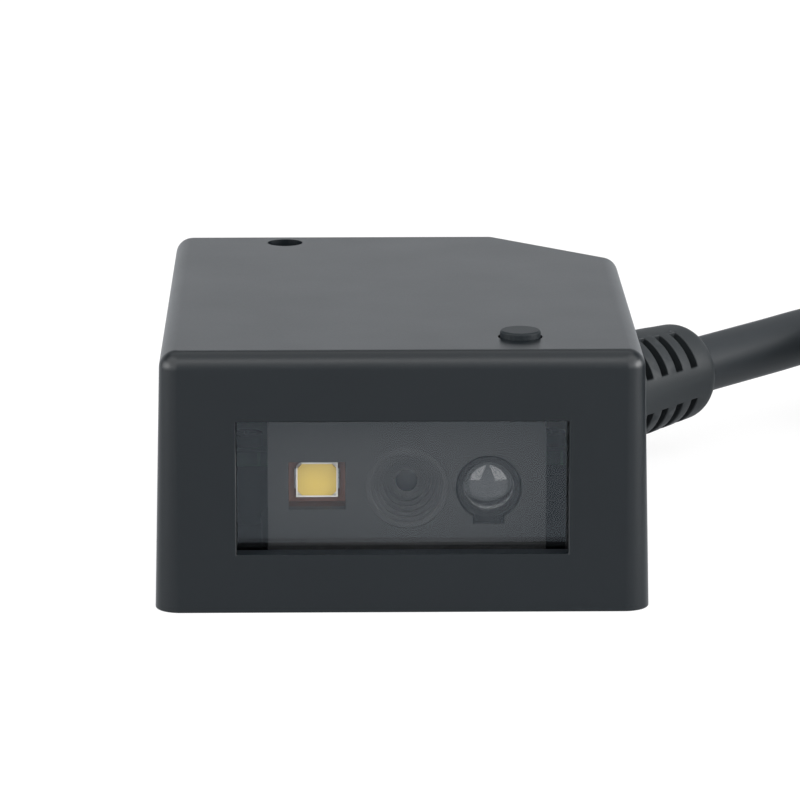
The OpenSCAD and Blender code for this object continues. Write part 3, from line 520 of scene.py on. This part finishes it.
def make_finish(slot):
    """Builds the finish of one slot of the record, or one of the few that only the looks need."""
    tint = settings().colours
    makers = {
        # Painted shade: the case is painted near black and dull inside the shell behind the pane
        "case_plastic": lambda n: paint_light_in_box(
            moulded(n, tint.case, 0.335, depth=0.004, specular=0.245, dust=0.004), *shell_front(), SHELL_PAINTED_SHADE),
        "button_plastic": lambda n: moulded(n, tint.button, 0.42, depth=0.003, specular=0.07),
        "window_tint": lambda n: clear(n, tint.pane, ior=1.38, gleam=(0.82, 0.91, 1.0)),
        "seal_foam": lambda n: moulded(n, tint.foam, 0.95, grain=1.5, depth=0.06, specular=0.2),
        "pad_foam": lambda n: moulded(n, tint.pad, 0.95, grain=1.5, depth=0.03, specular=0.1),
        "screw_steel": lambda n: metal(n, tint.steel, 0.32),
        "screw_black": lambda n: metal(n, tint.painted_shade_steel, 0.55),
        "insert_brass": lambda n: metal(n, tint.brass, 0.30),
        "switch_body": lambda n: metal(n, tint.steel, 0.35, stretch=(8, 1, 1)),
        "switch_black": lambda n: moulded(n, tint.chip, 0.35),
        "board_green": lambda n: printed_board(n, tint.board, tint.track),
        "flex_film": lambda n: moulded(n, tint.film, 0.28, depth=0.003, coat=0.3),
        # Painted reflected light: the engine is painted brown and dull round the LED, as if lit by the board
        "engine_plastic": lambda n: paint_light_in_box(
            moulded(n, tint.engine, 0.6, depth=0.001, specular=0.05, drift=0.1),
            *around("illumination_led", POCKET_MARGIN), tint.pocket),
        "led_white": lambda n: moulded(n, tint.led, 0.45, depth=0.003, drift=0.08),
        "led_board": lambda n: moulded(n, tint.led_board, 0.5, depth=0.004, drift=0.5),
        "led_phosphor": lambda n: moulded(n, tint.phosphor, 0.42, grain=0.4, depth=0.004, drift=0.18),
        "led_metal": lambda n: metal(n, tint.steel, 0.3),
        "barrel_black": lambda n: moulded(n, tint.sleeve, 0.4, depth=0.001, specular=0.12, drift=0.1),
        "lens_barrel": lambda n: moulded(n, tint.barrel, 0.4, depth=0.0005, specular=0.15, drift=0.1),
        "optic_clear": lambda n: clear(n, tint.optic, ior=1.52),
        "optic_coated": lambda n: clear(n, tint.coated, ior=1.29, roughness=0.4),
        "sensor_dark": lambda n: moulded(n, tint.sensor, 0.12, depth=0.001, coat=1.0),
        "emitter_smoke": lambda n: moulded(n, tint.emitter, 0.5, depth=0.001, specular=0.2),
        "connector_ivory": lambda n: moulded(n, tint.ivory, 0.42, depth=0.004),
        "chip_black": lambda n: moulded(n, tint.chip, 0.55, depth=0.012),
        "wire_red": lambda n: moulded(n, tint.wire, 0.35, depth=0.003),
        "cable_jacket": lambda n: moulded(n, tint.cable, 0.52, depth=0.008, specular=0.19),
        "relief_rubber": lambda n: moulded(n, tint.relief, 0.55, depth=0.008, specular=0.21),
        "tie_black": lambda n: woven(n, tint.tie),
        "plug_plastic": lambda n: moulded(n, tint.plug, 0.5, depth=0.012, specular=0.25),
        "plug_steel": lambda n: metal(n, tint.steel, 0.22, stretch=(1, 8, 1)),
        "plug_white": lambda n: moulded(n, tint.led, 0.35, depth=0.003, drift=0.06),
        "contact_gold": lambda n: metal(n, tint.brass, 0.22, stretch=(1, 8, 1)),
    }
    return makers[slot]("finish_" + slot)


def finish(slot):
    """Material of a slot, built at its first use."""
    return bpy.data.materials.get("finish_" + slot) or make_finish(slot)


def dress(node, slot=None):
    """Gives a solid that stays as it is its finish."""
    materials = NODES[node].data.materials
    materials.clear()
    materials.append(finish(slot or SLOT_OF[node]))


def new_piece(name, data, node, slot=None, stands_for=None):
    """Places a new piece on a node's body, with its slot, in place of that node or of those named."""
    piece = bpy.data.objects.new(name, data)
    bpy.context.scene.collection.objects.link(piece)
    data.materials.clear()
    data.materials.append(finish(slot or SLOT_OF[node]))
    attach(piece, BODY_OF[node])
    hidden = (node,) if stands_for is None else stands_for
    if hidden:
        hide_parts(*hidden)
    return piece


def mesh_from(bm, name, sharp_deg):
    """Turns a bmesh into a smooth shaded mesh whose creases stay sharp."""
    mesh = bpy.data.meshes.new(name)
    bm.to_mesh(mesh)
    bm.free()
    mesh.shade_smooth()
    mesh.set_sharp_from_angle(angle=math.radians(sharp_deg))
    return mesh


def middle(edge):
    """Middle of an edge."""
    return (edge.verts[0].co + edge.verts[1].co) / 2


def refine(node, edge, zone=None, segments=3, slot=None, crease_deg=CREASE_DEG):
    """Copies a solid, joins its triangles, rounds its crisp edges and lets the copy stand for it."""
    bm = bmesh.new()
    bm.from_mesh(NODES[node].data)
    bmesh.ops.remove_doubles(bm, verts=bm.verts, dist=SOLID_WELD)
    bmesh.ops.dissolve_limit(bm, angle_limit=math.radians(FLAT_DEG), verts=bm.verts, edges=bm.edges)
    crisp = [
        e for e in bm.edges
        if e.is_manifold and e.calc_face_angle() > math.radians(crease_deg)
        and (zone is None or zone(middle(e)))
    ]
    if edge and crisp:
        bmesh.ops.bevel(bm, geom=crisp, offset=edge, offset_type="OFFSET", affect="EDGES",
                        segments=segments, profile=0.5, material=-1, clamp_overlap=False)
    mesh = mesh_from(bm, node + "_skin", crease_deg)
    piece = new_piece(node + "_skin", mesh, node, slot)
    normals = piece.modifiers.new("Even normals", "WEIGHTED_NORMAL")
    normals.keep_sharp = True
    return piece


def swell(piece, growth):
    """Moves the outer skin of a turned piece outwards, away from its axis along y."""
    places = [vertex.co for vertex in piece.data.vertices]
    middle_x = (min(place.x for place in places) + max(place.x for place in places)) / 2
    middle_z = (min(place.z for place in places) + max(place.z for place in places)) / 2
    outer = max(place.x for place in places) - middle_x
    for vertex in piece.data.vertices:
        offset = Vector((vertex.co.x - middle_x, 0, vertex.co.z - middle_z))
        if offset.length > outer - RIM_REACH:
            vertex.co += offset.normalized() * growth


def spun(name, node, profile, centre, steps=72, slot=None):
    """Turns a profile of (radius, depth) points about an axis along y and lets it stand for a node."""
    bm = bmesh.new()
    verts = [bm.verts.new(centre + Vector((radius, depth, 0))) for radius, depth in profile]
    edges = [bm.edges.new(pair) for pair in zip(verts, verts[1:])]
    bmesh.ops.spin(bm, geom=verts + edges, cent=centre, axis=(0, 1, 0), dvec=(0, 0, 0), angle=2 * math.pi,
                   steps=steps, use_merge=True)
    bmesh.ops.remove_doubles(bm, verts=bm.verts, dist=SPUN_WELD)
    bmesh.ops.recalc_face_normals(bm, faces=bm.faces)
    return new_piece(name, mesh_from(bm, name, ROUND_CREASE_DEG), node, slot)


def dome(low, high, bulge, hollow, rings=14):
    """Profile of a lens that fills a node's box, domed towards the front and with a coned back."""
    radius, depth = (high.x - low.x) / 2, high.y - low.y
    half = math.asin(min(1.0, radius / bulge))
    arc = [
        (bulge * math.sin(half * i / rings), bulge * (1 - math.cos(half * i / rings)))
        for i in range(rings + 1)
    ]
    return [*arc, (radius, depth), (0, depth - hollow)]


def gland():
    """Place of the cable exit, worked out from the plug at the far end."""
    low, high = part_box("plug_overmould")
    return Vector((high.x - GLAND_TO_PLUG[0] * MM, (low.y + high.y) / 2 - GLAND_TO_PLUG[1] * MM, 0))


def coil_points():
    """Points of the wound cable: one layer inwards, a climb, and a second layer outwards."""
    points = []
    for i in range(round(COIL_END * COIL_POINTS_PER_TURN) + 1):
        turn = i / COIL_POINTS_PER_TURN
        climb = min(1.0, max(0.0, (turn - COIL_CLIMB[0]) / (COIL_CLIMB[1] - COIL_CLIMB[0])))
        lift = climb * climb * (3 - 2 * climb)
        radius = COIL_OUTER_R - COIL_PITCH * turn
        if climb > 0:
            radius = COIL_INNER_R - COIL_CLIMB_DIP * math.sin(math.pi * climb)
        if climb == 1:
            radius = COIL_INNER_R + COIL_PITCH * (turn - COIL_CLIMB[1])
        angle = math.radians(COIL_START_DEG) - 2 * math.pi * turn
        points.append((
            COIL_FROM_GLAND[0] + radius * math.cos(angle),
            COIL_FROM_GLAND[1] + radius * math.sin(angle),
            COIL_LAYER_Z[0] + lift * (COIL_LAYER_Z[1] - COIL_LAYER_Z[0]),
        ))
    return points


def cable_route():
    """Whole route of the cable in metres, from inside the relief to the plug."""
    rise = math.sqrt(2) * math.tan(math.radians(GLAND_RISE_DEG))
    straight = [(step, step, GLAND_HEIGHT + step * rise) for step in LEAD_STEPS]
    route = [*straight, *LEAD_DROP, *coil_points(), *TAIL_STEPS]
    return [gland() + Vector(point) * MM for point in route]


class READER_OT_stage(bpy.types.Operator):
    """Builds the camera, the pale floor and wall and the soft lights"""

    bl_idname = "reader.stage"
    bl_label = "Build stage"

    def pale_material(self):
        """Pale floor that keeps the shadow, near white to camera, mirrors and glass, and open from below."""
        stage = settings().stage
        material, tree, shader, place = start_material("pale_floor")
        tone = place_group(tree, tone_drift(), {
            "Vector": place, "Colour": (*settings().colours.floor, 1), "Size": 0.3, "Amount": 0.02,
        })
        tree.links.new(tone.outputs["Colour"], shader.inputs["Base Color"])
        shader.inputs["Roughness"].default_value = 0.9
        shader.inputs["Specular IOR Level"].default_value = 0.0
        path = add(tree, "ShaderNodeLightPath").outputs
        mirrored = math_node(tree, "MAXIMUM", path["Is Glossy Ray"], path["Is Transmission Ray"])
        white = add(tree, "ShaderNodeMix", {"data_type": "RGBA"}, {"Factor": mirrored})
        white.inputs["A"].default_value = (1, 1, 1, 1)
        white.inputs["B"].default_value = (*settings().colours.mirrored, 1)
        glow = add(tree, "ShaderNodeEmission", None, {"Color": white.outputs["Result"], "Strength": 1.0})
        seen = math_node(tree, "MAXIMUM", path["Is Camera Ray"], mirrored)
        share = math_node(tree, "MULTIPLY", seen, stage.floor_white)
        pale = add(tree, "ShaderNodeMixShader", None, {0: share, 1: shader.outputs[0], 2: glow.outputs[0]})
        backfacing = add(tree, "ShaderNodeNewGeometry").outputs["Backfacing"]
        below = math_node(tree, "MULTIPLY", path["Is Camera Ray"], backfacing)
        open_below = add(tree, "ShaderNodeBsdfTransparent")
        mix = add(tree, "ShaderNodeMixShader", None, {0: below, 1: pale.outputs[0], 2: open_below.outputs[0]})
        tree.links.new(mix.outputs[0], tree.nodes["Material Output"].inputs["Surface"])
        return material

    def build_floor(self):
        """Round floor with an upright wall round it."""
        stage = settings().stage
        bm = bmesh.new()
        bmesh.ops.create_circle(bm, cap_ends=True, segments=FLOOR_SEGMENTS, radius=stage.wall_radius)
        rim = [e for e in bm.edges if e.is_boundary]
        raised = bmesh.ops.extrude_edge_only(bm, edges=rim)["geom"]
        wall = [v for v in raised if isinstance(v, bmesh.types.BMVert)]
        bmesh.ops.translate(bm, verts=wall, vec=(0, 0, stage.wall_height))
        bmesh.ops.translate(bm, verts=bm.verts, vec=(0, 0, -FLOOR_GAP))
        bmesh.ops.recalc_face_normals(bm, faces=bm.faces)
        # The faces look inwards, at the reader
        bmesh.ops.reverse_faces(bm, faces=bm.faces)
        mesh = bpy.data.meshes.new("floor")
        bm.to_mesh(mesh)
        bm.free()
        mesh.materials.append(self.pale_material())
        floor = bpy.data.objects.new("floor", mesh)
        bpy.context.scene.collection.objects.link(floor)

    def softbox(self, name, power, place, size):
        """Rectangular soft light that points at the reader."""
        light = bpy.data.lights.new(name, "AREA")
        light.energy = power
        light.shape = "RECTANGLE"
        light.size, light.size_y = size
        box = bpy.data.objects.new(name, light)
        box.location = place
        box.rotation_euler = (Vector(LIGHT_AIM) - Vector(place)).to_track_quat("-Z", "Y").to_euler()
        bpy.context.scene.collection.objects.link(box)

    def execute(self, context):
        stage = settings().stage
        scene = context.scene
        scene.view_settings.view_transform = "Standard"
        data = bpy.data.cameras.new("camera")
        data.lens = stage.camera_lens
        data.sensor_width = SENSOR_WIDTH
        data.clip_start, data.clip_end = CAMERA_CLIP
        camera = bpy.data.objects.new("camera", data)
        camera.location = stage.camera_place
        camera.rotation_euler = Vector(stage.camera_aim).to_track_quat("-Z", "Y").to_euler()
        scene.collection.objects.link(camera)
        scene.camera = camera
        self.build_floor()
        for name, power, share, place, size in SOFTBOXES:
            self.softbox(name, share * getattr(stage, power), place, size)
        world = bpy.data.worlds.new("room")
        scene.world = world
        world.use_nodes = True
        world.node_tree.nodes["Background"].inputs["Color"].default_value = (*settings().colours.world, 1)
        return {"FINISHED"}


class READER_OT_cable(bpy.types.Operator):
    """Lays the cable from the gland to its plug, wound in one neat coil, with its relief and tie"""

    bl_idname = "reader.cable"
    bl_label = "Lay cable"

    def execute(self, context):
        sizes = settings().sizes
        route = cable_route()
        curve = bpy.data.curves.new("cable", "CURVE")
        curve.dimensions = "3D"
        curve.bevel_depth = sizes.cable / 2
        curve.bevel_resolution = CABLE_SIDES
        curve.resolution_u = CABLE_STEPS
        curve.use_fill_caps = True
        spline = curve.splines.new("BEZIER")
        spline.bezier_points.add(len(route) - 1)
        for knot, place in zip(spline.bezier_points, route):
            knot.co = place
            knot.handle_left_type = knot.handle_right_type = "AUTO"
        cable = new_piece("cable", curve, "cable_lead", stands_for=("cable_lead", "cable_coil", "cable_tail"))
        relief = refine("strain_relief", sizes.relief_edge)
        tie = refine("coil_tie", sizes.tie_edge)
        low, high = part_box("plug_overmould")
        grip = refine("plug_overmould", sizes.plug_edge,
                      lambda place: place.y < low.y + GRIP_REACH or place.y > high.y - GRIP_REACH)
        shell = refine("plug_shell", sizes.shell_edge)
        insulator = refine("plug_insulator", sizes.small_edge)
        contacts = refine("plug_contacts", sizes.small_edge)
        return {"FINISHED"}


class READER_OT_housing(bpy.types.Operator):
    """Dresses the housing, its base plate, screws and inserts"""

    bl_idname = "reader.housing"
    bl_label = "Dress housing"

    def execute(self, context):
        sizes = settings().sizes
        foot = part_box("housing")[0].z + FOOT_REACH
        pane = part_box("window_pane")[0]

        def outside(place):
            """True on the edges of the foot and on those of the window above its crisp sill."""
            on_window = place.y < pane.y - FRAME_REACH and place.z > pane.z + SILL_REACH
            return on_window or place.z < foot

        refine("housing", sizes.case_edge, outside)
        refine("base_plate", sizes.base_edge, lambda place: place.z < FOOT_REACH)
        for node in ("base_screws", "engine_screws", "mount_inserts"):
            refine(node, sizes.screw_edge, lambda place: place.z < FOOT_REACH, segments=2)
        return {"FINISHED"}


class READER_OT_button(bpy.types.Operator):
    """Dresses the button and its switch"""

    bl_idname = "reader.button"
    bl_label = "Dress button"

    def execute(self, context):
        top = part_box("trigger_button")[1].z
        refine("trigger_button", settings().sizes.button_edge, lambda place: place.z > top - CAP_REACH)
        for node in ("switch_plunger", "tact_switch", "button_board", "button_flex"):
            dress(node)
        return {"FINISHED"}


class READER_OT_window(bpy.types.Operator):
    """Dresses the clear pane and its seal"""

    bl_idname = "reader.window"
    bl_label = "Dress window"

    def execute(self, context):
        refine("window_pane", settings().sizes.small_edge)
        dress("window_seal")
        return {"FINISHED"}


class READER_OT_engine(bpy.types.Operator):
    """Dresses the imaging engine, its LED, lens barrel and aimer, and the pad under it"""

    bl_idname = "reader.engine"
    bl_label = "Dress engine"

    def lens(self, node, share, hollow=0.0, slot=None):
        """Domed lens in place of a node; share is the dome's radius by the lens diameter."""
        low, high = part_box(node)
        centre = Vector(((low.x + high.x) / 2, low.y, (low.z + high.z) / 2))
        spun(node + "_dome", node, dome(low, high, (high.x - low.x) * share, hollow), centre, slot=slot)

    def pad(self, cuts=3):
        """Foam pad on the base plate that the front of the engine presses."""
        sizes = settings().sizes
        low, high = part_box("engine_chassis")
        size = Vector((high.x - low.x, sizes.pad_depth, low.z - sizes.plate))
        front = low.y + 2 * sizes.pad_bulge
        bm = bmesh.new()
        bmesh.ops.create_cube(bm, size=1)
        upright = [e for e in bm.edges if abs(e.verts[0].co.z - e.verts[1].co.z) > 0.5]
        bmesh.ops.subdivide_edges(bm, edges=upright, cuts=cuts)
        for vert in bm.verts:
            swelling = 1 - (2 * vert.co.z) ** 2
            vert.co.y += math.copysign(swelling * sizes.pad_bulge / size.y, vert.co.y)
        bmesh.ops.scale(bm, vec=size, verts=bm.verts)
        bmesh.ops.translate(bm, vec=((low.x + high.x) / 2, front + size.y / 2, sizes.plate + size.z / 2),
                            verts=bm.verts)
        mesh = mesh_from(bm, "engine_pad", ROUND_CREASE_DEG)
        new_piece("engine_pad", mesh, "window_seal", "pad_foam", stands_for=())

    def execute(self, context):
        sizes = settings().sizes
        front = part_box("engine_chassis")[0].y
        refine("engine_chassis", sizes.engine_edge, lambda place: place.y < front + RIM_REACH)
        low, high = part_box("lens_barrel")
        axis, radius = (low + high) / 2, (high.x - low.x) / 2

        def on_steps(place):
            """True on the steps of the lens barrel, and not on its glued rim."""
            return math.hypot(place.x - axis.x, place.z - axis.z) < radius - RIM_REACH

        barrel = refine("lens_barrel", sizes.small_edge, on_steps, slot="lens_barrel",
                        crease_deg=ROUND_CREASE_DEG)
        swell(barrel, sizes.barrel_gap)
        refine("aimer_holder", sizes.small_edge, crease_deg=ROUND_CREASE_DEG)
        for node in ("illumination_led", "led_phosphor", "led_terminals"):
            refine(node, sizes.small_edge)
        self.lens("aimer_lens", AIMER_DOME, hollow=AIMER_HOLLOW)
        self.lens("front_lens", IMAGING_DOME, slot="optic_coated")
        self.pad()
        dress("led_board", "led_board")
        dress("rear_lens", "optic_coated")
        for node in ("image_sensor", "sensor_board", "sensor_screws", "aimer_emitter",
                     "sensor_connector", "flex_cable"):
            dress(node)
        return {"FINISHED"}


class READER_OT_electronics(bpy.types.Operator):
    """Dresses the decoder board and what it carries inside the housing"""

    bl_idname = "reader.electronics"
    bl_label = "Dress electronics"

    def execute(self, context):
        # Painted shade: the board screws take the near black steel so that they stay dark behind the pane
        dress("board_screws", "screw_black")
        for node in ("decoder_board", "decoder_chip", "beeper", "flex_connector", "cable_header",
                     "inner_plug", "wire_leads"):
            dress(node)
        return {"FINISHED"}


STEPS = (
    READER_OT_stage, READER_OT_cable, READER_OT_housing, READER_OT_button, READER_OT_window, READER_OT_engine,
    READER_OT_electronics,
)


class READER_PT_panel(bpy.types.Panel):
    """Lists the steps that dress the reader"""

    bl_idname = "READER_PT_panel"
    bl_label = "Fixed barcode reader"
    bl_space_type = "VIEW_3D"
    bl_region_type = "UI"
    bl_category = "Reader"

    def draw(self, context):
        for step in STEPS:
            self.layout.operator(step.bl_idname)
        for group in (settings().sizes, settings().colours, settings().stage):
            box = self.layout.box()
            for key in group.__annotations__:
                box.prop(group, key)


CLASSES = (ReaderSizes, ReaderColours, ReaderStage, ReaderSettings, *STEPS, READER_PT_panel)


def register():
    """Registers the classes and the scene's settings."""
    for item in CLASSES:
        bpy.utils.register_class(item)
    bpy.types.Scene.reader = bpy.props.PointerProperty(type=ReaderSettings)


def unregister():
    """Removes the settings and the classes."""
    del bpy.types.Scene.reader
    for item in reversed(CLASSES):
        bpy.utils.unregister_class(item)


def main():
    """Runs every step in order."""
    register()
    bpy.ops.reader.stage()
    bpy.ops.reader.cable()
    bpy.ops.reader.housing()
    bpy.ops.reader.button()
    bpy.ops.reader.window()
    bpy.ops.reader.engine()
    bpy.ops.reader.electronics()


if __name__ == "__main__":
    main()
